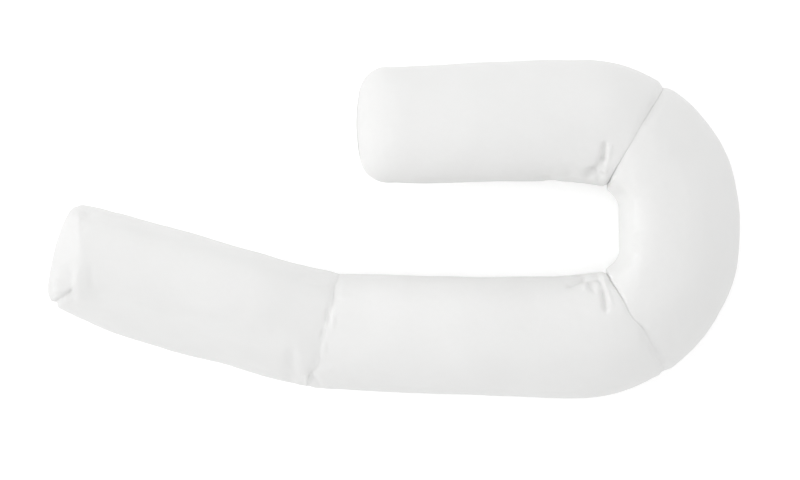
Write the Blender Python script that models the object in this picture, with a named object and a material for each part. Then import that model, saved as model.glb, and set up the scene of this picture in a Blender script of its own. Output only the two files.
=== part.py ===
"""J-shaped body pillow, lying flat: four stuffed cloth panels sewn end to end.

The tail slants off the straight back panel, the bend carries it round, and the head arm runs back beside it.
Metres, +Z up, origin on the floor under the middle of the pillow's box, +X towards the bend.
"""

import math

import bmesh
import bpy
import numpy as np

# Driving dimensions
LENGTH = 1.400  # tail end to the outside of the bend
WIDTH = 0.685  # across both arms
GAP = 0.186  # clear space between the two arms
HEIGHT = 0.195  # crown of the stuffed tube above the floor
BEND_WIDTH = 0.245  # the bend at its middle, inside edge to outside edge
LOWER_BEND_RADIUS = 0.330
UPPER_BEND_RADIUS = 0.319
INSIDE_CORNER_RADIUS = 0.051
HEAD_ARM_END = -0.065  # X of the head arm's free end
HEAD_ARM_END_OUTSIDE = 0.3255  # Y of its outside corner
TAIL_ANGLE = math.radians(15.2)  # how far the tail slants off the back panel
TAIL_LENGTH = 0.5452  # along its inside edge, from the knee to the free end
TAIL_END_WIDTH = 0.207
TAIL_END_ANGLE = math.radians(17.6)  # how far the tail's end seam slants off the Y axis

# Seams and closings
SEAM_GAP = 0.0003  # clear space between two panels at their seam
SEAM_DEPTH = 0.05  # how far a seam draws the tube in, as a share of its half height
SEAM_REACH = 0.022  # how far from a seam its dip reaches
END_SEAM = 0.05  # what is left of the thickness where a free end is sewn shut
SIDE_SHARE = 0.46  # height of the tube's widest line, as a share of its crown
SIDE_FULLNESS = 2.25  # 2 is an ellipse, more is a fuller side
SETTLE = 0.016  # how far the round underside would reach below the floor if it weren't flattened
SETTLE_BLEND = 0.010  # height over which the flat underside turns into the round side

# How finely the cloth is faceted
ROUND = 28  # points round the tube
STEPS = 24  # sections along a panel
ARC_STEP = math.radians(1.5)
EDGE_PLACES = 6000  # places tried when a point's distance along an edge is looked up
SMOOTH_ANGLE = math.radians(50)

COTTON_WHITE = (0.86, 0.86, 0.85)
CLOTH_ROUGHNESS = 0.9

HALF_LENGTH = LENGTH / 2
HALF_WIDTH = WIDTH / 2
HALF_GAP = GAP / 2
INSIDE_X = HALF_LENGTH - BEND_WIDTH
KNEE_INSIDE = (-0.120, -0.0885)  # where the tail's and the back's inside edges would cross
KNEE_OUTSIDE = (-0.170, -0.3245)
TAIL_TIP_INSIDE = (
    KNEE_INSIDE[0] - TAIL_LENGTH * math.cos(TAIL_ANGLE),
    KNEE_INSIDE[1] + TAIL_LENGTH * math.sin(TAIL_ANGLE),
)
TAIL_TIP_OUTSIDE = (
    TAIL_TIP_INSIDE[0] - TAIL_END_WIDTH * math.sin(TAIL_END_ANGLE),
    TAIL_TIP_INSIDE[1] - TAIL_END_WIDTH * math.cos(TAIL_END_ANGLE),
)
TAIL_TAPER = (-0.560, -0.2155)  # where the outside edge starts to draw in towards the tail's end

# The two edges of the pillow seen from above, from the tail's end to the head arm's: corners and their radii
INSIDE_EDGE = (
    {"at": TAIL_TIP_INSIDE, "radius": 0.0},
    {"at": KNEE_INSIDE, "radius": 0.26},
    {"at": (0.270, -0.096), "radius": 1.0},
    {"at": (INSIDE_X, -0.089), "radius": INSIDE_CORNER_RADIUS},
    {"at": (INSIDE_X, 0.091), "radius": INSIDE_CORNER_RADIUS},
    {"at": (0.310, 0.095), "radius": 1.0},
    {"at": (HEAD_ARM_END, HALF_GAP), "radius": 0.0},
)
OUTSIDE_EDGE = (
    {"at": TAIL_TIP_OUTSIDE, "radius": 0.0},
    {"at": TAIL_TAPER, "radius": 0.50},
    {"at": KNEE_OUTSIDE, "radius": 0.20},
    {"at": (0.300, -HALF_WIDTH), "radius": 1.0},
    {"at": (HALF_LENGTH, -HALF_WIDTH), "radius": LOWER_BEND_RADIUS},
    {"at": (HALF_LENGTH, HALF_WIDTH), "radius": UPPER_BEND_RADIUS},
    {"at": (0.300, HALF_WIDTH), "radius": 1.0},
    {"at": (HEAD_ARM_END, HEAD_ARM_END_OUTSIDE), "radius": 0.0},
)

# Sections, from the tail's end to the head arm's: the two edge points that each runs between, and its crown
SECTIONS = {
    "tail_end": {"inside": TAIL_TIP_INSIDE, "outside": TAIL_TIP_OUTSIDE, "crown": 0.180},
    "knee": {"inside": (-0.113, -0.088), "outside": KNEE_OUTSIDE, "crown": 0.172},
    "back": {"inside": (0.140, -0.093), "outside": (0.140, -0.336), "crown": HEIGHT},
    "lower_mitre": {"inside": (0.430, -0.089), "outside": (0.549, -0.289), "crown": 0.192},
    "bend": {"inside": (INSIDE_X, 0.0), "outside": (HALF_LENGTH, 0.0), "crown": HEIGHT},
    "upper_mitre": {"inside": (0.432, 0.091), "outside": (0.547, 0.289), "crown": 0.192},
    "arm": {"inside": (0.160, HALF_GAP), "outside": (0.160, 0.337), "crown": HEIGHT},
    "arm_end": {
        "inside": (HEAD_ARM_END, HALF_GAP),
        "outside": (HEAD_ARM_END, HEAD_ARM_END_OUTSIDE),
        "crown": 0.185,
    },
}

# Free ends: how far the cloth closes down to its end seam, how far the seam bows out, and its corners' radii
TAIL_CLOSING = {"reach": 0.060, "bow": 0.008, "inside_corner": 0.016, "outside_corner": 0.034}
HEAD_ARM_CLOSING = {"reach": 0.080, "bow": 0.007, "inside_corner": 0.056, "outside_corner": 0.052}

# Panels: the sections each one runs through, and how its two ends close, where they aren't seams
PANELS = {
    "tail_panel": {"through": ("tail_end", "knee"), "closings": (TAIL_CLOSING, None)},
    "back_panel": {"through": ("knee", "back", "lower_mitre"), "closings": (None, None)},
    "bend_panel": {"through": ("lower_mitre", "bend", "upper_mitre"), "closings": (None, None)},
    "head_arm_panel": {"through": ("upper_mitre", "arm", "arm_end"), "closings": (None, HEAD_ARM_CLOSING)},
}


def clear_scene():
    for obj in list(bpy.data.objects):
        bpy.data.objects.remove(obj, do_unlink=True)


def edge_line(corners):
    """Straight runs joined by arcs, as closely spaced points."""
    places = [np.array(corner["at"]) for corner in corners]
    points = [places[0]]
    for before, here, after, corner in zip(places, places[1:], places[2:], corners[1:]):
        towards = (here - before) / np.linalg.norm(here - before)
        away = (after - here) / np.linalg.norm(after - here)
        turn = math.atan2(towards[0] * away[1] - towards[1] * away[0], towards @ away)
        start = here - towards * corner["radius"] * math.tan(abs(turn) / 2)
        to_centre = math.copysign(corner["radius"], turn) * np.array([-towards[1], towards[0]])
        first = math.atan2(-to_centre[1], -to_centre[0])
        angles = first + np.linspace(0, turn, max(3, round(abs(turn) / ARC_STEP)))
        arc = corner["radius"] * np.column_stack([np.cos(angles), np.sin(angles)])
        points.extend(start + to_centre + arc)
    points.append(places[-1])
    return np.array(points)


class Edge:
    """One edge of the pillow seen from above, read by the distance along it."""

    def __init__(self, corners):
        self.points = edge_line(corners)
        steps = np.linalg.norm(np.diff(self.points, axis=0), axis=1)
        self.along = np.concatenate([[0.0], np.cumsum(steps)])

    def at(self, distance):
        return np.stack([np.interp(distance, self.along, self.points[:, k]) for k in (0, 1)], axis=-1)

    def distance_of(self, point):
        """The distance along the edge of its nearest place to a point."""
        distances = np.linspace(0, self.along[-1], EDGE_PLACES)
        away = np.linalg.norm(self.at(distances) - np.array(point), axis=1)
        return distances[int(away.argmin())]


def eased(count):
    """Places from 0 to 1 that crowd towards both ends, where seams and closings need them."""
    return (1 - np.cos(np.linspace(0, math.pi, count + 1))) / 2


def quarter_round(distance, reach):
    """A quarter ellipse: 0 at the end, and 1 from a distance of reach onwards."""
    return np.sqrt(1 - np.clip(1 - distance / reach, 0, 1) ** 2)


def settled(height):
    """Flattens what would be below the floor, turning gently into the round side."""
    blended = (height + SETTLE_BLEND) ** 2 / (4 * SETTLE_BLEND)
    return np.where(height >= SETTLE_BLEND, height, np.where(height <= -SETTLE_BLEND, 0.0, blended))


def section_ring(inside, outside, crown, fullness, bow):
    """The closed outline of the tube between two edge points.

    fullness is 1 along the tube and less at its ends. bow pushes the middle of the section along the tube.
    """
    angle = 2 * math.pi * np.arange(ROUND) / ROUND
    across = np.sign(np.cos(angle)) * np.abs(np.cos(angle)) ** (2 / SIDE_FULLNESS)
    plan = inside + np.outer((1 - across) / 2, outside - inside) + np.outer(1 - across**2, bow)
    side_line = SIDE_SHARE * crown
    half_height = np.where(np.sin(angle) > 0, crown - side_line, side_line + SETTLE) * fullness
    return np.column_stack([plan, settled(side_line + half_height * np.sin(angle))])


def panel_rings(panel, inside_edge, outside_edge):
    """The rings of one panel, from one seam or free end to the next."""
    rows = [SECTIONS[name] for name in panel["through"]]
    knots = np.linspace(0, 1, len(rows))
    inside_at = [inside_edge.distance_of(row["inside"]) for row in rows]
    outside_at = [outside_edge.distance_of(row["outside"]) for row in rows]
    place = eased(STEPS)
    inside = inside_edge.at(np.interp(place, knots, inside_at))
    outside = outside_edge.at(np.interp(place, knots, outside_at))
    crown = np.interp(place, knots, [row["crown"] for row in rows])

    middle = (inside + outside) / 2
    along = np.concatenate([[0.0], np.cumsum(np.linalg.norm(np.diff(middle, axis=0), axis=1))])
    to_outside = (outside - inside) / np.linalg.norm(outside - inside, axis=1)[:, None]
    fullness = np.ones_like(along)
    bow = np.zeros_like(middle)
    outwards = ((middle[0] - middle[1]), (middle[-1] - middle[-2]))
    for distance, closing, outward in zip((along, along[-1] - along), panel["closings"], outwards):
        if closing is None:
            fullness *= 1 - SEAM_DEPTH * np.exp(-((distance / SEAM_REACH) ** 2))
            continue
        fullness *= END_SEAM + (1 - END_SEAM) * quarter_round(distance, closing["reach"])
        nearness = np.clip(1 - distance / closing["reach"], 0, 1)
        bow += np.outer(nearness * closing["bow"], outward / np.linalg.norm(outward))
        inside_cut = closing["inside_corner"] * (1 - quarter_round(distance, closing["inside_corner"]))
        outside_cut = closing["outside_corner"] * (1 - quarter_round(distance, closing["outside_corner"]))
        inside = inside + to_outside * inside_cut[:, None]
        outside = outside - to_outside * outside_cut[:, None]
    rings = [section_ring(*row) for row in zip(inside, outside, crown, fullness, bow)]

    for end, closing, outward in zip((0, -1), panel["closings"], (1, -1)):
        if closing is None:
            seam_normal = np.array([-to_outside[end][1], to_outside[end][0], 0.0])
            rings[end] = rings[end] + seam_normal * outward * SEAM_GAP / 2
    return rings


def loft(name, rings):
    """One closed solid: a skin through the rings and a flat cap at each end."""
    centre = np.mean([ring.mean(axis=0) for ring in rings], axis=0)
    bm = bmesh.new()
    loops = [[bm.verts.new(point - centre) for point in ring] for ring in rings]
    for one, next_one in zip(loops, loops[1:]):
        for k in range(ROUND):
            bm.faces.new((one[k], one[k - 1], next_one[k - 1], next_one[k]))
    bm.faces.new(loops[0])
    bm.faces.new(loops[-1][::-1])
    bmesh.ops.recalc_face_normals(bm, faces=bm.faces)
    mesh = bpy.data.meshes.new(name)
    bm.to_mesh(mesh)
    bm.free()
    mesh.shade_smooth()
    mesh.set_sharp_from_angle(angle=SMOOTH_ANGLE)
    obj = bpy.data.objects.new(name, mesh)
    obj.location = centre
    return obj


def cover_cloth(name):
    material = bpy.data.materials.new(name + "_cloth")
    material.use_nodes = True
    shader = material.node_tree.nodes["Principled BSDF"]
    shader.inputs["Base Color"].default_value = (*COTTON_WHITE, 1.0)
    shader.inputs["Roughness"].default_value = CLOTH_ROUGHNESS
    shader.inputs["Metallic"].default_value = 0.0
    return material


def main():
    clear_scene()
    collection = bpy.data.collections.new("body_pillow")
    bpy.context.scene.collection.children.link(collection)
    pillow = bpy.data.objects.new("body_pillow_origin", None)
    collection.objects.link(pillow)
    inside_edge = Edge(INSIDE_EDGE)
    outside_edge = Edge(OUTSIDE_EDGE)
    for name, panel in PANELS.items():
        obj = loft(name, panel_rings(panel, inside_edge, outside_edge))
        obj.data.materials.append(cover_cloth(name))
        obj.parent = pillow
        collection.objects.link(obj)


main()
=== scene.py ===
import math

import bpy
import numpy as np
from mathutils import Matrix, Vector


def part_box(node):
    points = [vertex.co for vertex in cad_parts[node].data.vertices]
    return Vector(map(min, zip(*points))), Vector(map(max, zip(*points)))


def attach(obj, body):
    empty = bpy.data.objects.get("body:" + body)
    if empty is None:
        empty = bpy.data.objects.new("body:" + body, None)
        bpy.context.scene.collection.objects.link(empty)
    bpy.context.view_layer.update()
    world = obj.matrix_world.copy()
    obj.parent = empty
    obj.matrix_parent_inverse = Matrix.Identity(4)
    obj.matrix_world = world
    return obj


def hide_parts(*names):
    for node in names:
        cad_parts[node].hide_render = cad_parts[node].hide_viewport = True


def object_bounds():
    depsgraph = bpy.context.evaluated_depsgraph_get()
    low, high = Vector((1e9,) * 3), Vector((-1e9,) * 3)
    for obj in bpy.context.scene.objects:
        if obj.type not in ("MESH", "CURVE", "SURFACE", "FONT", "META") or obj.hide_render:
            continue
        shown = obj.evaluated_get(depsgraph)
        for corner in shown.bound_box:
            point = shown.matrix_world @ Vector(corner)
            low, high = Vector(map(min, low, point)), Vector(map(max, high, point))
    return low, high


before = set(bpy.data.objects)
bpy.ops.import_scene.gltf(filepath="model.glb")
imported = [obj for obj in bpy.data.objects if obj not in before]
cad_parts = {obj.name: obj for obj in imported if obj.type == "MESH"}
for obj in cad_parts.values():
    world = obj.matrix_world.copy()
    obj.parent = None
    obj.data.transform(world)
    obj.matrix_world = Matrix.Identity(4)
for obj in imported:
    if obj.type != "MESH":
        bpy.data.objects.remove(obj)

cadLow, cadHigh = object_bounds()
print("stage 1: frame loaded, CAD box", [round(v, 3) for v in (*cadLow, *cadHigh)])

# The pillow's outline from above, as corners of x, y and radius. The inside edge faces the gap in the J.
kneeInside, kneeOutside = (-0.120, -0.0885), (-0.170, -0.3245)
tail = {"angle": math.radians(15.2), "length": 0.5452, "endWidth": 0.207, "endAngle": math.radians(17.6)}
tailTipInside = (kneeInside[0] - tail["length"] * math.cos(tail["angle"]),
                 kneeInside[1] + tail["length"] * math.sin(tail["angle"]))
tailTipOutside = (tailTipInside[0] - tail["endWidth"] * math.sin(tail["endAngle"]),
                  tailTipInside[1] - tail["endWidth"] * math.cos(tail["endAngle"]))
endBow = 0.007
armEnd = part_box("head_arm_panel")[0].x + endBow
insideX = cadHigh.x - 0.245

outline = {
    "inside": [(*tailTipInside, 0.0), (*kneeInside, 0.42), (0.270, -0.096, 1.0), (insideX, -0.089, 0.051),
               (insideX, 0.091, 0.051), (0.310, 0.095, 1.0), (armEnd, 0.093, 0.0)],
    "outside": [(*tailTipOutside, 0.0), (-0.560, -0.2155, 0.50), (*kneeOutside, 0.20), (0.300, cadLow.y, 1.0),
                (cadHigh.x, cadLow.y, 0.330), (cadHigh.x, cadHigh.y, 0.319), (0.300, cadHigh.y, 1.0),
                (armEnd, 0.3255, 0.0)],
    "arcStep": math.radians(0.5),
    "placesTried": 8000,    # when a point's distance along an edge is looked up
    "tableRows": 5601,      # of the table that the tube is read from
}

# Sections that the tube runs through: a point on each edge, and the crown's height
sections = [
    {"name": "tailEnd", "inside": tailTipInside, "outside": tailTipOutside, "crown": 0.180},
    {"name": "knee", "inside": (-0.113, -0.088), "outside": kneeOutside, "crown": 0.186},
    {"name": "back", "inside": (0.140, -0.093), "outside": (0.140, -0.336), "crown": 0.195},
    {"name": "lowerMitre", "inside": (0.430, -0.089), "outside": (0.549, -0.289), "crown": 0.192},
    {"name": "bend", "inside": (insideX, 0.0), "outside": (cadHigh.x, 0.0), "crown": 0.195},
    {"name": "upperMitre", "inside": (0.432, 0.091), "outside": (0.547, 0.289), "crown": 0.192},
    {"name": "arm", "inside": (0.160, 0.093), "outside": (0.160, 0.337), "crown": 0.195},
    {"name": "armEnd", "inside": (armEnd, 0.093), "outside": (armEnd, 0.3255), "crown": 0.180},
]

tube = {
    "sideShare": 0.46,      # height of the widest line, as a share of the crown
    "fullness": 2.25,       # 2 is an ellipse, more is a fuller side
    "settle": 0.016,        # how far the round underside would reach below the floor
    "settleBlend": 0.010,   # height over which the flat underside turns into the round side
    "endSeam": 0.006,       # what is left of the thickness at a closed end
}
closings = {
    "tail": {"reach": 0.060, "bow": 0.008, "insideCorner": 0.016, "outsideCorner": 0.034},
    "arm": {"reach": 0.090, "bow": endBow, "insideCorner": 0.056, "outsideCorner": 0.052},
}
# The tail's end slopes down as one flat face; its reach, from the inside corner to the outside one
facet = {
    "share": 0.8, "reach": (0.016, 0.032, 0.049, 0.060, 0.050, 0.025),
    "foot": 0.30, "footReach": 0.2, "round": 0.05,
}
# The crown drops towards each seam. Before the seam and after it, the drop has its own reach and power.
crownDips = {
    "knee": {"depth": 0.025, "before": (0.145, 1.2), "after": (0.38, 1.5)},
    "lowerMitre": {"depth": 0.007, "before": (0.085, 1.5), "after": (0.26, 1.5)},
    "upperMitre": {"depth": 0.007, "before": (0.26, 1.5), "after": (0.085, 1.5)},
}
# The crown lies nearer to the inside edge, round the bend and along the tail
lean = {"bend": 0.62, "tail": 0.44, "reach": 0.10, "tailStart": 0.02}
# How far each seam wanders along the tube, at even steps from its inside end to its outside end
seamWander = {
    "knee": (0.004, 0.002, 0.006, 0.006, 0.005, 0.0015, 0.008, -0.004, -0.006),
    "lowerMitre": (0.0, -0.0046, -0.0045, -0.0043, -0.0065, 0.001, 0.0015, 0.0, -0.001),
    "upperMitre": (0.0, 0.004, 0.005, 0.005, 0.005, 0.0045, 0.003, 0.001, 0.0),
    "reach": 0.045,
}


def edgeLine(corners, arcStep):
    # Straight runs joined by arcs. Each touches both runs, its centre one radius to the side of its start.
    places = [np.array(corner[:2]) for corner in corners]
    points = [places[0]]
    for before, here, after, corner in zip(places, places[1:], places[2:], corners[1:]):
        towards = (here - before) / np.linalg.norm(here - before)
        away = (after - here) / np.linalg.norm(after - here)
        turn = math.atan2(towards[0] * away[1] - towards[1] * away[0], towards @ away)
        start = here - towards * corner[2] * math.tan(abs(turn) / 2)
        toCentre = math.copysign(corner[2], turn) * np.array([-towards[1], towards[0]])
        steps = max(4, round(abs(turn) / arcStep))
        angles = math.atan2(-toCentre[1], -toCentre[0]) + np.linspace(0, turn, steps)
        points.extend(start + toCentre + corner[2] * np.column_stack([np.cos(angles), np.sin(angles)]))
    points.append(places[-1])
    return np.array(points)


def lengthsAlong(points):
    # Running distance along a line of points.
    return np.concatenate([[0.0], np.cumsum(np.linalg.norm(np.diff(points, axis=0), axis=1))])


def pointsAt(line, distance):
    # The points of a line at the given distances along it.
    along = lengthsAlong(line)
    return np.stack([np.interp(distance, along, line[:, k]) for k in (0, 1)], axis=-1)


def distanceOf(line, point):
    # Distance along a line of its nearest place to a point.
    tried = np.linspace(0, lengthsAlong(line)[-1], outline["placesTried"])
    return tried[np.linalg.norm(pointsAt(line, tried) - np.array(point), axis=1).argmin()]


def makeSpine():
    # Both edges as functions of the distance along the tube's middle line, read from one dense table.
    insideLine = edgeLine(outline["inside"], outline["arcStep"])
    outsideLine = edgeLine(outline["outside"], outline["arcStep"])
    knots = np.arange(len(sections))
    place = np.linspace(0, len(sections) - 1, outline["tableRows"])
    insideAt = np.interp(place, knots, [distanceOf(insideLine, row["inside"]) for row in sections])
    outsideAt = np.interp(place, knots, [distanceOf(outsideLine, row["outside"]) for row in sections])
    inside, outside = pointsAt(insideLine, insideAt), pointsAt(outsideLine, outsideAt)
    along = lengthsAlong((inside + outside) / 2)
    crown = np.interp(place, knots, [row["crown"] for row in sections])
    table = np.column_stack([inside, outside, crown])
    seams = {row["name"]: float(np.interp(k, place, along)) for k, row in enumerate(sections)}
    return along, table, seams


spineAlong, spineTable, sectionAt = makeSpine()
coverLength = spineAlong[-1]
print("stage 2: outline and sections read, cover", round(float(coverLength), 3), "m long")


def quarterRound(distance, reach):
    # A quarter ellipse: 0 at the end, and 1 from a distance of reach onwards.
    return np.sqrt(1 - np.clip(1 - distance / reach, 0, 1) ** 2)


def settled(height):
    # Heights below the floor become 0, and a parabola joins the flat to the round side.
    blend = tube["settleBlend"]
    joined = (np.maximum(height, -blend) + blend) ** 2 / (4 * blend)
    return np.where(height >= blend, height, joined)


def smoothStep(low, high, value):
    # 0 up to low, 1 from high on, and a smooth S between.
    t = np.clip((value - low) / (high - low), 0, 1)
    return t * t * (3 - 2 * t)


def acrossShare(around):
    # The place across the tube: 0 at the inside edge, 1 at the outside.
    return (1 - np.cos(around)) / 2


def facetHeight(distance, around):
    # A straight slope from the foot up to 1, its top edge eased over, and its foot closed by a quarter round.
    reach = evenly(acrossShare(around), facet["reach"])
    slope = facet["foot"] + (1 - facet["foot"]) * distance / reach
    eased = (slope + 1 - np.sqrt((slope - 1) ** 2 + facet["round"] ** 2)) / 2
    return np.minimum(eased, 1) * quarterRound(distance, facet["footReach"] * reach)


def evenly(place, values):
    # Values at even steps from 0 to 1, joined by a smooth cubic.
    knots = np.concatenate([[2 * values[0] - values[1]], values, [2 * values[-1] - values[-2]]])
    at = np.clip(place, 0, 1) * (len(values) - 1)
    k = np.minimum(at.astype(int), len(values) - 2)
    t = at - k
    a, b, c, d = knots[k], knots[k + 1], knots[k + 2], knots[k + 3]
    return b + t * ((c - a) / 2 + t * (a - 2.5 * b + 2 * c - d / 2 + t * (1.5 * (b - c) + (d - a) / 2)))


def crownDrop(along):
    # The crown's drop at the seams: one power curve down to each seam, and another one up from it.
    drop = np.zeros_like(along)
    for name, dip in crownDips.items():
        past = along - sectionAt[name]
        down = np.clip(1 + past / dip["before"][0], 0, 1) ** dip["before"][1]
        rise = np.clip(1 - past / dip["after"][0], 0, 1) ** dip["after"][1]
        drop += dip["depth"] * np.minimum(down, rise)
    return drop


def leanAt(along):
    # How far the crown leans over: a plateau along the tail and another round the bend, with S-shaped ends.
    reach, tailStart = lean["reach"], lean["tailStart"]
    tailPart = (smoothStep(tailStart, tailStart + reach, along)
                * (1 - smoothStep(sectionAt["knee"] - 2 * reach, sectionAt["knee"], along)))
    bendPart = (smoothStep(sectionAt["lowerMitre"] - reach, sectionAt["lowerMitre"] + reach, along)
                * (1 - smoothStep(sectionAt["upperMitre"] - reach, sectionAt["upperMitre"] + reach, along)))
    return lean["tail"] * tailPart + lean["bend"] * bendPart


def wandered(along, around):
    # Places along the tube, moved with the seams' wander: all of it at a seam, less and less away from it.
    place = np.broadcast_to(along[:, None], (len(along), len(around))).copy()
    for name in ("knee", "lowerMitre", "upperMitre"):
        away = np.exp(-(((along - sectionAt[name]) / seamWander["reach"]) ** 2))
        place += away[:, None] * evenly(acrossShare(around), seamWander[name])
    return place


def coverSurface(along, around, leaning=1):
    # The whole cover. Across: inside + (1 - c)/2 (outside - inside), with c a flattened cosine of the angle;
    # on top that share is raised to a power, which leans the crown over, unless leaning is 0.
    # Up: the side line + half the height times the sine of the angle, drawn together at the two closed ends.
    place = wandered(along, around)
    row = np.stack([np.interp(place, spineAlong, spineTable[:, k]) for k in range(5)], axis=-1)
    inside, outside, crown = row[..., 0:2], row[..., 2:4], row[..., 4]
    across = (outside - inside) / np.linalg.norm(outside - inside, axis=-1, keepdims=True)
    fullness = np.ones_like(place)
    bow = np.zeros_like(inside)
    for distance, side, name in ((place, -1, "tail"), (coverLength - place, 1, "arm")):
        closing = closings[name]
        height = quarterRound(distance, closing["reach"])
        if name == "tail":
            height = (1 - facet["share"]) * height + facet["share"] * facetHeight(distance, around)
        fullness *= tube["endSeam"] + (1 - tube["endSeam"]) * height
        outward = side * np.stack([across[..., 1], -across[..., 0]], axis=-1)
        bow -= outward * (np.clip(1 - distance / closing["reach"], 0, 1) * closing["bow"])[..., None]
        inside = inside + across * (closing["insideCorner"]
                                    * (1 - quarterRound(distance, closing["insideCorner"])))[..., None]
        outside = outside - across * (closing["outsideCorner"]
                                      * (1 - quarterRound(distance, closing["outsideCorner"])))[..., None]
    c = np.sign(np.cos(around)) * np.abs(np.cos(around)) ** (2 / tube["fullness"])
    power = 1 + leaning * leanAt(place) * np.clip(np.sin(around), 0, 1)
    share = ((1 - c) / 2) ** power
    plan = inside + share[..., None] * (outside - inside) + (1 - c**2)[:, None] * bow
    sideLine = tube["sideShare"] * crown
    upper = (crown - sideLine) * fullness - crownDrop(place)
    lower = (sideLine + tube["settle"]) * fullness
    up = np.sin(around)
    return np.dstack([plan, settled(sideLine + np.where(up > 0, upper, lower) * up)])


def gridFaces(rows, columns):
    # Quads between neighbouring rings; each open end is zipped shut between its upper and lower points, and a
    # triangle closes the zip at either side.
    index = np.arange(rows * columns).reshape(rows, columns)
    side = np.roll(index, -1, axis=1)
    walls = np.stack([index[:-1], side[:-1], side[1:], index[1:]], axis=-1).reshape(-1, 4)
    half, k = columns // 2, np.arange(1, columns // 2 - 1)
    zipped = np.stack([k, k + 1, columns - k - 1, columns - k], axis=-1)
    tips = np.array([[0, 1, columns - 1], [half + 1, half - 1, half]])
    last = index[-1]
    return np.vstack([walls, zipped[:, ::-1], last[zipped]]), np.vstack([tips[:, ::-1], last[tips]])


def gridObject(name, points):
    # One closed mesh over a grid of points.
    quads, triangles = gridFaces(*points.shape[:2])
    mesh = bpy.data.meshes.new(name)
    mesh.from_pydata(points.reshape(-1, 3).tolist(), [], quads.tolist() + triangles.tolist())
    mesh.update()
    mesh.shade_smooth()
    obj = bpy.data.objects.new(name, mesh)
    bpy.context.scene.collection.objects.link(obj)
    return obj


noise = {"waves": 24, "spread": (0.6, 1.5), "level": 1.5}


def smoothNoise(points, scale, seed):
    # A smooth random field, mostly from -1 to 1: plane waves about scale long, in seeded random directions.
    waves = noise["waves"]
    draw = np.random.default_rng(seed)
    direction = draw.normal(size=(waves, 3))
    direction /= np.linalg.norm(direction, axis=1)[:, None]
    number = direction * (2 * math.pi / scale * draw.uniform(*noise["spread"], waves))[:, None]
    phase = draw.uniform(0, 2 * math.pi, waves)
    return np.sin(points @ number.T + phase).sum(axis=-1) / math.sqrt(waves) / noise["level"]


simulation = {
    "rows": 290, "columns": 96, "frames": 20, "quality": 6,
    "pressure": 4.0, "massKg": 0.15, "tension": 20.0, "bending": 0.3,
    "seamShrink": 0.05, "seamReach": 0.007,      # the seams are drawn tight
    "cornerSlack": 0.10, "cornerReach": 0.07,    # spare cloth where the cover turns its inside corners
    "endSlack": 0.05, "endReach": 0.055,         # and where it closes at its ends
    "innerReach": 0.9,                           # how near to the inside edge the corners' spare cloth is
    "heldHeight": 0.0004,                        # what lies lower than this rests on the floor
    "cap": 0.014, "swellTaken": 0.9, "swellSigma": (7, 6),
}


def bell(distance, reach):
    # A bell curve: 1 at no distance, 1/e at the reach.
    return np.exp(-((distance / reach) ** 2))


def simulateCover(points, along, around):
    # The cover is blown up as cloth. Its seams are drawn tight, and it has spare cloth where it turns the
    # inside corners and where it closes at its free ends. What rests on the floor is held.
    cover = gridObject("coverSimulation", points)
    seams = np.max([bell(along - sectionAt[k], simulation["seamReach"])
                    for k in ("knee", "lowerMitre", "upperMitre")], axis=0)
    corners = sum(bell(along - sectionAt[k], simulation["cornerReach"]) for k in ("lowerMitre", "upperMitre"))
    ends = bell(along, simulation["endReach"]) + bell(coverLength - along, simulation["endReach"])
    innerSide = smoothStep(0.0, simulation["innerReach"], np.cos(around))
    change = (simulation["seamShrink"] * seams[:, None] - simulation["endSlack"] * ends[:, None]
              - simulation["cornerSlack"] * corners[:, None] * innerSide)
    low, high = float(change.min()), float(change.max())
    weight = np.round((change - low) / (high - low), 2).ravel()
    shrink = cover.vertex_groups.new(name="shrink")
    for level in np.unique(weight):
        shrink.add(np.flatnonzero(weight == level).tolist(), float(level), "REPLACE")
    held = cover.vertex_groups.new(name="held")
    resting = points[..., 2].ravel() < simulation["heldHeight"]
    held.add(np.flatnonzero(resting).tolist(), 1.0, "REPLACE")
    cloth = cover.modifiers.new("cloth", "CLOTH")
    cloth.settings.quality = simulation["quality"]
    cloth.settings.mass = simulation["massKg"]
    cloth.settings.tension_stiffness = cloth.settings.compression_stiffness = simulation["tension"]
    cloth.settings.bending_stiffness = simulation["bending"]
    cloth.settings.use_pressure = True
    cloth.settings.uniform_pressure_force = simulation["pressure"]
    cloth.settings.effector_weights.gravity = 0
    cloth.settings.vertex_group_shrink = "shrink"
    cloth.settings.shrink_min, cloth.settings.shrink_max = low, high
    cloth.settings.vertex_group_mass = "held"
    cloth.collision_settings.use_collision = False
    cloth.point_cache.frame_start, cloth.point_cache.frame_end = 1, simulation["frames"]
    for number in range(1, simulation["frames"] + 1):
        bpy.context.scene.frame_set(number)
    blown = cover.evaluated_get(bpy.context.evaluated_depsgraph_get())
    flat = np.empty(points.size, np.float32)
    blown.data.vertices.foreach_get("co", flat)
    bpy.context.scene.frame_set(1)
    bpy.data.objects.remove(cover, do_unlink=True)
    move = flat.reshape(points.shape).astype(float) - points
    size = np.linalg.norm(move, axis=-1, keepdims=True)
    print("stage 3: cloth moved up to", round(float(size.max()) * 1000, 1), "mm")
    return move * np.minimum(1, simulation["cap"] / np.maximum(size, 1e-9))


def cubicWeights(t):
    # The four weights of a uniform cubic B-spline between its second and third points.
    inner = 3 * t**3 - 6 * t**2 + 4
    return np.stack([(1 - t) ** 3, inner, 6 - (1 - t) ** 3 - inner - t**3, t**3], axis=-1) / 6


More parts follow.
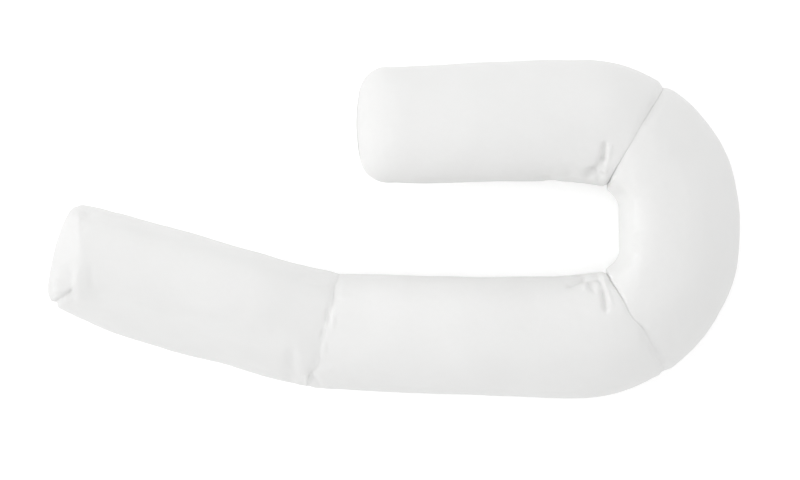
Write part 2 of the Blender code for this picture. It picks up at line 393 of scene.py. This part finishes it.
def resampled(grid, rowPlace, columnPlace):
    # A grid read at fractional rows and columns: cubic along both, wrapped round the tube.
    row, column = np.floor(rowPlace).astype(int), np.floor(columnPlace).astype(int)
    pickRow = np.clip(row[:, None] + np.arange(-1, 3), 0, grid.shape[0] - 1)
    pickColumn = (column[:, None] + np.arange(-1, 3)) % grid.shape[1]
    rows = np.einsum("ik,ikcd->icd", cubicWeights(rowPlace - row), grid[pickRow])
    return np.einsum("jk,ijkd->ijd", cubicWeights(columnPlace - column), rows[:, pickColumn])


def blurred(grid, rowSigma, columnSigma):
    # A grid smoothed by a bell curve along the tube and round it.
    place = np.arange(grid.shape[0])
    down = np.exp(-((place[:, None] - place) / rowSigma) ** 2 / 2)
    place = np.arange(grid.shape[1])
    gap = np.abs(place[:, None] - place)
    across = np.exp(-(np.minimum(gap, grid.shape[1] - gap) / columnSigma) ** 2 / 2)
    down /= down.sum(1, keepdims=True)
    across /= across.sum(1, keepdims=True)
    return np.einsum("ij,jcd,kc->ikd", down, grid, across)


simAlong = np.linspace(0, coverLength, simulation["rows"])
simAround = np.linspace(0, 2 * math.pi, simulation["columns"], endpoint=False)
clothMove = simulateCover(coverSurface(simAlong, simAround, leaning=0), simAlong, simAround)
clothMove -= simulation["swellTaken"] * blurred(clothMove, *simulation["swellSigma"])


# Creases in the cloth from above, in metres: name, start, end, depth (a ridge is negative) and half width
creases = [
    ("upperTrough", (0.419, 0.163), (0.416, 0.138), 0.0080, 0.0050),
    ("upperTroughFoot", (0.413, 0.128), (0.398, 0.112), 0.0065, 0.0085),
    ("upperEdgeFold", (0.395, 0.112), (0.411, 0.106), 0.0070, 0.0070),
    ("upperRidge", (0.430, 0.157), (0.424, 0.116), -0.0018, 0.0040),
    ("lowerTrough", (0.417, -0.128), (0.420, -0.156), 0.0088, 0.0046),
    ("lowerTroughHead", (0.414, -0.104), (0.417, -0.122), 0.0030, 0.0050),
    ("lowerRidge", (0.421, -0.104), (0.433, -0.146), -0.0020, 0.0038),
    ("lowerEdgeFold", (0.396, -0.100), (0.408, -0.098), 0.0060, 0.0060),
    ("lowerPatch", (0.391, -0.106), (0.396, -0.117), 0.0045, 0.0060),
    ("lowerSlantFold", (0.356, -0.112), (0.380, -0.100), 0.0075, 0.0050),
    ("lowerSlantRidge", (0.382, -0.115), (0.390, -0.102), -0.0028, 0.0045),
    ("kneeInnerTrough", (-0.121, -0.121), (-0.121, -0.136), 0.0014, 0.0040),
    ("kneeInnerRidge", (-0.102, -0.102), (-0.102, -0.134), -0.0008, 0.0055),
    ("kneeMiddleTrough", (-0.132, -0.166), (-0.132, -0.181), 0.0030, 0.0035),
    ("kneeMiddleRidge", (-0.120, -0.179), (-0.120, -0.189), -0.0022, 0.0050),
    ("kneeSpot", (-0.141, -0.207), (-0.141, -0.211), 0.0024, 0.0040),
    ("kneeFlick", (-0.137, -0.233), (-0.137, -0.240), -0.0020, 0.0045),
    ("kneeOuterNick", (-0.166, -0.285), (-0.167, -0.298), 0.0014, 0.0036),
    ("kneeOuterRidge", (-0.175, -0.299), (-0.176, -0.312), -0.0035, 0.0045),
    ("kneeOuterFold", (-0.160, -0.301), (-0.152, -0.310), 0.0040, 0.0060),
    ("kneeTailDent", (-0.203, -0.257), (-0.202, -0.291), 0.0040, 0.0140),
    ("kneeInsideDent", (-0.178, -0.096), (-0.150, -0.101), 0.0040, 0.0100),
    ("tailFold", (-0.652, -0.132), (-0.684, -0.151), 0.0095, 0.0060),
    ("tailHollow", (-0.646, -0.095), (-0.644, -0.130), 0.0065, 0.0110),
    ("tailLobe", (-0.671, -0.106), (-0.671, -0.124), -0.0060, 0.0090),
    ("tailCornerDent", (-0.640, 0.050), (-0.616, 0.034), 0.0070, 0.0120),
    ("tailLongDent", (-0.570, -0.134), (-0.250, -0.216), 0.0070, 0.0260),
    ("tailSpot", (-0.600, -0.078), (-0.600, -0.110), 0.0016, 0.0060),
]

# Each seam's groove: a wide soft dip and a narrow cut. The strength runs from the inside edge to the outside.
seamCut = {
    "knee": {"dip": 0.0002, "dipReach": 0.008, "cut": 0.0006, "cutReach": 0.0018,
             "strength": (0.5, 0.15, 0.15, 0.25, 0.7)},
    "lowerMitre": {"dip": 0.0012, "dipReach": 0.008, "cut": 0.0042, "cutReach": 0.0025,
                   "strength": (1.3, 1.1, 0.45, 0.08, 0.06)},
    "upperMitre": {"dip": 0.0012, "dipReach": 0.008, "cut": 0.0042, "cutReach": 0.0025,
                   "strength": (1.5, 0.75, 0.30, 0.36, 0.36)},
}
pucker = {"height": 0.0006, "reach": 0.014, "length": 0.016, "seed": 13}
lumps = {
    "height": 0.0016, "length": 0.16, "seed": 11,
    "fineHeight": 0.0003, "fineLength": 0.03, "fineSeed": 12,
}
# Creases run out past their ends over so many half widths, and fade out down the side between two heights.
# No relief is made where the cloth rests: it grows from nothing over the rest height.
fading = {"pastEnds": 1.6, "creaseHeights": (0.03, 0.09), "restHeight": 0.012}


def gridNormals(points):
    # Outward normals: the step round the tube crossed with the step along it.
    roundStep = np.roll(points, -1, axis=1) - np.roll(points, 1, axis=1)
    normal = np.cross(roundStep, np.gradient(points, axis=0))
    return normal / np.maximum(np.linalg.norm(normal, axis=-1, keepdims=True), 1e-12)


def creaseDepth(points, start, end, depth, width):
    # Depth falls off as a bell across the crease, and runs out past its ends. Only the upper side folds.
    start, end = np.array(start), np.array(end)
    length = np.linalg.norm(end - start)
    unit = (end - start) / length
    offset = points[..., :2] - start
    along = offset @ unit
    beyond = np.maximum(np.maximum(-along, along - length), 0) / (fading["pastEnds"] * width)
    aside = (offset[..., 0] * unit[1] - offset[..., 1] * unit[0]) / width
    upperSide = smoothStep(*fading["creaseHeights"], points[..., 2])
    return depth * np.exp(-aside**2 - beyond**2) * upperSide


def detailed(points, along, around, panelSeams):
    # Fine relief along the normals: seams drawn in, puckers across them, creases and lumps of filling.
    normal = gridNormals(points)
    relief = lumps["height"] * smoothNoise(points, lumps["length"], lumps["seed"])
    relief += lumps["fineHeight"] * smoothNoise(points, lumps["fineLength"], lumps["fineSeed"])
    for name in panelSeams:
        cut = seamCut[name]
        distance = np.abs(along - sectionAt[name])[:, None]
        strength = evenly(acrossShare(around), cut["strength"])
        relief -= (cut["dip"] * bell(distance, cut["dipReach"])
                   + cut["cut"] * np.exp(-distance / cut["cutReach"])) * strength
        ring = coverSurface(np.array([sectionAt[name]]), around)
        waves = smoothNoise(ring, pucker["length"], pucker["seed"])
        relief += pucker["height"] * waves * np.exp(-distance / pucker["reach"])
    for name, start, end, depth, width in creases:
        relief -= creaseDepth(points, start, end, depth, width)
    relief *= smoothStep(0.0, fading["restHeight"], points[..., 2])
    return points + normal * relief[..., None]


panels = {
    "tail_cover": {"node": "tail_panel", "from": "tailEnd", "to": "knee"},
    "back_cover": {"node": "back_panel", "from": "knee", "to": "lowerMitre"},
    "bend_cover": {"node": "bend_panel", "from": "lowerMitre", "to": "upperMitre"},
    "head_arm_cover": {"node": "head_arm_panel", "from": "upperMitre", "to": "armEnd"},
}
mesh = {
    "rows": 134, "columns": 176, "crowding": 0.82,        # rows crowd towards the seams
    "seamGap": 0.00004, "tucks": (0.0, 0.00016, 0.006),   # how far the end rings turn in
    "holdShare": 0.2,                                     # where the extra ring by each seam lies in its row
    "fill": 0.85,
}


def panelRows(start, end):
    # Rows that crowd towards both ends: even steps less a sine.
    p = np.linspace(0, 1, mesh["rows"])
    return start + (end - start) * (p - mesh["crowding"] * np.sin(2 * math.pi * p) / (2 * math.pi))


def turnedIn(ring, inner):
    # The end ring drawn back by half the gap, a ring just before it that holds the cloth flat, and copies
    # tucked in towards its middle: a sharp edge, then the seam allowance, which hides the cap.
    back = (inner - ring).mean(axis=0)
    edge = ring + back / np.linalg.norm(back) * mesh["seamGap"] / 2
    toCentre = edge.mean(axis=0) - edge
    toCentre /= np.linalg.norm(toCentre, axis=1, keepdims=True)
    hold = edge + (inner - edge) * mesh["holdShare"]
    return np.stack([hold, *(edge + toCentre * depth for depth in mesh["tucks"])])


def addClothMap(obj, points, along):
    # The cloth's own map, in metres: the length along the tube, and the length round its middle ring. The
    # seam distance is the way along the cloth to the nearer end of the panel.
    rows, columns = points.shape[:2]
    ring = points[rows // 2]
    girth = np.concatenate([[0], np.cumsum(np.linalg.norm(np.roll(ring, -1, axis=0) - ring, axis=1))])
    u = np.repeat(along, columns)
    v = np.tile(girth[:-1], rows)
    corner = np.empty(len(obj.data.loops), np.int32)
    obj.data.loops.foreach_get("vertex_index", corner)
    place = np.column_stack([u[corner], v[corner]])
    walls = (rows - 1) * columns * 4
    wrapped = (np.arange(walls) // 4) % columns == columns - 1
    place[:walls][wrapped & (place[:walls, 1] == 0), 1] = girth[-1]
    half = columns // 2 - 2
    # Both lips of a closed end share their places
    zips = place[walls:walls + half * 8].reshape(2, half, 4, 2)
    zips[0, :, :2] = zips[0, :, :1:-1]
    zips[1, :, 2:] = zips[1, :, 1::-1]
    layer = obj.data.uv_layers.new(name="clothMap")
    layer.data.foreach_set("uv", place.ravel())
    seam = obj.data.attributes.new("seamDistance", "FLOAT", "POINT")
    seam.data.foreach_set("value", np.maximum(0, np.minimum(u - along[0], along[-1] - u)))


def makePanel(name, panel):
    # One panel: its stretch of the cover, moved as the cloth moved, with its relief, tucked in at its seams.
    along = panelRows(sectionAt[panel["from"]], sectionAt[panel["to"]])
    around = np.linspace(0, 2 * math.pi, mesh["columns"], endpoint=False)
    points = coverSurface(along, around)
    points += resampled(clothMove, along / coverLength * (simulation["rows"] - 1),
                        around / (2 * math.pi) * simulation["columns"])
    points[..., 2] = np.maximum(points[..., 2], 0)
    points = detailed(points, along, around, [k for k in (panel["from"], panel["to"]) if k in seamCut])
    first, last = points[:1], points[-1:]
    if panel["from"] in seamCut:
        first = turnedIn(points[0], points[1])[::-1]
    if panel["to"] in seamCut:
        last = turnedIn(points[-1], points[-2])
    points = np.concatenate([first, points[1:-1], last])
    along = np.concatenate([np.full(len(first), along[0]), along[1:-1], np.full(len(last), along[-1])])
    obj = gridObject(name, points)
    addClothMap(obj, points, along)
    smooth = obj.modifiers.new("smooth", "SUBSURF")
    smooth.levels = smooth.render_levels = 1
    return obj


cotton = {
    "light": (0.79, 0.79, 0.784, 1), "dark": (0.755, 0.755, 0.749, 1), "mottleSize": 0.07,
    "mottleShare": 0.6, "slubShare": 0.2,         # how much of the shade each one gives
    "roughness": (0.84, 0.92), "roughRange": (0.6, 1.4),   # the slubs' range that the roughness goes over
    "sheen": 0.10, "sheenRoughness": 0.5, "specular": 0.25,
    "threadPitch": 0.0007, "threadHeight": 0.00006,
    "slubSize": (0.014, 0.0011), "slubHeight": 0.00010,
    "crinkleSize": 0.006, "crinkleHeight": 0.00022,
    "stitchPitch": 0.0032, "stitchReach": 0.0016, "stitchDepth": 0.0003,
}


def addNode(tree, kind, settings=None, **links):
    # A node with its properties set, and each named input either linked from a socket or set to a value.
    made = tree.nodes.new(kind)
    for key, value in (settings or {}).items():
        setattr(made, key, value)
    for key, value in links.items():
        socket = made.inputs[int(key[1:])] if key[1:].isdigit() else made.inputs[key.replace("_", " ")]
        if isinstance(value, bpy.types.NodeSocket):
            tree.links.new(value, socket)
        else:
            socket.default_value = value
    return made


def mathOf(tree, operation, *values):
    # One Math node over sockets or numbers.
    inputs = {"i" + str(k): value for k, value in enumerate(values)}
    return addNode(tree, "ShaderNodeMath", {"operation": operation}, **inputs).outputs[0]


def streaks(tree, place, stretch):
    # Noise drawn out into streaks: the map is divided by a length and a width.
    scaled = addNode(tree, "ShaderNodeMapping", None, Vector=place, Scale=(1 / stretch[0], 1 / stretch[1], 1))
    drawn = addNode(tree, "ShaderNodeTexNoise", None, Vector=scaled.outputs[0], Scale=1.0, Detail=2.0)
    return drawn.outputs[0]


def bumpOf(tree, height, distance, normal=None):
    # A bump whose full height is the distance.
    links = {"Height": height, "Distance": distance, "Strength": 1.0}
    if normal is not None:
        links["Normal"] = normal
    return addNode(tree, "ShaderNodeBump", None, **links).outputs[0]


def makeCotton():
    # Plain-woven cotton. The weave is the product of two sines of the cloth map. It has slubs along both
    # threads, a fine crinkle, a faint mottle of the white, and a row of needle holes along each seam.
    material = bpy.data.materials.new("coverCotton")
    material.use_nodes = True
    tree = material.node_tree
    shader = tree.nodes["Principled BSDF"]
    place = addNode(tree, "ShaderNodeTexCoord").outputs["Object"]
    clothMap = addNode(tree, "ShaderNodeUVMap", {"uv_map": "clothMap"}).outputs[0]
    parts = addNode(tree, "ShaderNodeSeparateXYZ", None, Vector=clothMap)
    perMetre = 2 * math.pi / cotton["threadPitch"]
    turns = [mathOf(tree, "SINE", mathOf(tree, "MULTIPLY", parts.outputs[k], perMetre)) for k in (0, 1)]
    weave = mathOf(tree, "MULTIPLY", *turns)
    long, thin = cotton["slubSize"]
    slubs = mathOf(tree, "ADD", streaks(tree, clothMap, (long, thin)), streaks(tree, clothMap, (thin, long)))
    fine, broad = 1 / cotton["crinkleSize"], 1 / cotton["mottleSize"]
    crinkle = addNode(tree, "ShaderNodeTexNoise", None, Vector=place, Scale=fine, Detail=3.0)
    mottle = addNode(tree, "ShaderNodeTexNoise", None, Vector=place, Scale=broad, Detail=4.0)

    seam = addNode(tree, "ShaderNodeAttribute", {"attribute_name": "seamDistance"}).outputs["Fac"]
    nearSeam = mathOf(tree, "SUBTRACT", 1.0, mathOf(tree, "MINIMUM", 1.0,
                      mathOf(tree, "DIVIDE", seam, cotton["stitchReach"])))
    stitchTurn = mathOf(tree, "MULTIPLY", parts.outputs[1], 2 * math.pi / cotton["stitchPitch"])
    holes = mathOf(tree, "MULTIPLY", nearSeam, mathOf(tree, "SINE", stitchTurn))

    shade = mathOf(tree, "ADD", mathOf(tree, "MULTIPLY", mottle.outputs[0], cotton["mottleShare"]),
                   mathOf(tree, "MULTIPLY", slubs, cotton["slubShare"]))
    colour = addNode(tree, "ShaderNodeMix", {"data_type": "RGBA"}, Factor=shade)
    colour.inputs["A"].default_value = cotton["light"]
    colour.inputs["B"].default_value = cotton["dark"]
    rough = addNode(tree, "ShaderNodeMapRange", None, Value=slubs,
                    From_Min=cotton["roughRange"][0], From_Max=cotton["roughRange"][1],
                    To_Min=cotton["roughness"][0], To_Max=cotton["roughness"][1])

    bump = bumpOf(tree, crinkle.outputs[0], cotton["crinkleHeight"])
    bump = bumpOf(tree, slubs, cotton["slubHeight"], bump)
    bump = bumpOf(tree, weave, cotton["threadHeight"], bump)
    bump = bumpOf(tree, holes, cotton["stitchDepth"], bump)
    tree.links.new(colour.outputs["Result"], shader.inputs["Base Color"])
    tree.links.new(rough.outputs["Result"], shader.inputs["Roughness"])
    tree.links.new(bump, shader.inputs["Normal"])
    shader.inputs["Sheen Weight"].default_value = cotton["sheen"]
    shader.inputs["Sheen Roughness"].default_value = cotton["sheenRoughness"]
    shader.inputs["Specular IOR Level"].default_value = cotton["specular"]
    return material


coverCotton = makeCotton()
for name, panel in panels.items():
    piece = makePanel(name, panel)
    piece.data.materials.append(coverCotton)
    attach(piece, "root")
    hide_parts(panel["node"])
print("stage 4: four cover panels made")


studio = {
    "floorColour": (0.94, 0.94, 0.94, 1), "floorRoughness": 0.9, "floorGlow": 0.18,
    "floorSize": 12.0, "floorDepth": 0.0005, "skyStrength": 0.935,
    "lens": 100.0, "sensor": 36.0, "viewWidth": 1.6208, "aim": (0.0132, -0.0223), "aimHeight": 0.09,
}
# Soft boxes: name, place, what it is turned to, side, the beam's angle and power in watts
lamps = [
    ("farSoftbox", (-6.0, 0.1, 2.4), (0.0, 0.0, 0.1), 2.0, 180, 76.0),
    ("nearSoftbox", (-0.1, 0.0, 1.5), (0.0, 0.0, 0.1), 1.0, 180, 2.15),
    ("backSoftbox", (0.0, 2.4, 1.3), (0.0, 0.0, 0.1), 1.6, 180, 6.0),
    ("gapSoftbox", (-1.6, 0.0, 0.65), (0.46, 0.0, 0.1), 0.3, 16, 0.06),
]


def makeFloor():
    # A plain pale sheet just under the pillow.
    half, low = studio["floorSize"] / 2, -studio["floorDepth"]
    corners = [(-half, -half, low), (half, -half, low), (half, half, low), (-half, half, low)]
    sheet = bpy.data.meshes.new("floor")
    sheet.from_pydata(corners, [], [(0, 1, 2, 3)])
    floor = bpy.data.objects.new("floor", sheet)
    bpy.context.scene.collection.objects.link(floor)
    paper = bpy.data.materials.new("floorPaper")
    paper.use_nodes = True
    shader = paper.node_tree.nodes["Principled BSDF"]
    shader.inputs["Base Color"].default_value = studio["floorColour"]
    shader.inputs["Roughness"].default_value = studio["floorRoughness"]
    shader.inputs["Emission Color"].default_value = (1, 1, 1, 1)
    shader.inputs["Emission Strength"].default_value = studio["floorGlow"]
    sheet.materials.append(paper)


def makeLamps():
    # A white sky all round, and square soft boxes turned to the pillow.
    world = bpy.data.worlds.new("studioSky")
    world.use_nodes = True
    background = world.node_tree.nodes["Background"]
    background.inputs["Color"].default_value = (1, 1, 1, 1)
    background.inputs["Strength"].default_value = studio["skyStrength"]
    bpy.context.scene.world = world
    for name, place, target, side, beam, power in lamps:
        light = bpy.data.lights.new(name, "AREA")
        light.size, light.energy, light.spread = side, power, math.radians(beam)
        holder = bpy.data.objects.new(name, light)
        holder.location = place
        holder.rotation_euler = (Vector(target) - Vector(place)).to_track_quat("-Z", "Y").to_euler()
        bpy.context.scene.collection.objects.link(holder)


def makeCamera():
    # Straight down: the height that makes the view as wide as viewWidth at aimHeight.
    lens = bpy.data.cameras.new("camera")
    lens.lens, lens.sensor_width = studio["lens"], studio["sensor"]
    camera = bpy.data.objects.new("camera", lens)
    height = studio["aimHeight"] + studio["viewWidth"] * studio["lens"] / studio["sensor"]
    camera.location = (*studio["aim"], height)
    bpy.context.scene.collection.objects.link(camera)
    bpy.context.scene.camera = camera
    bpy.context.scene.view_settings.view_transform = "Standard"


makeFloor()
makeLamps()
makeCamera()
print("stage 5: floor, lamps and camera made")
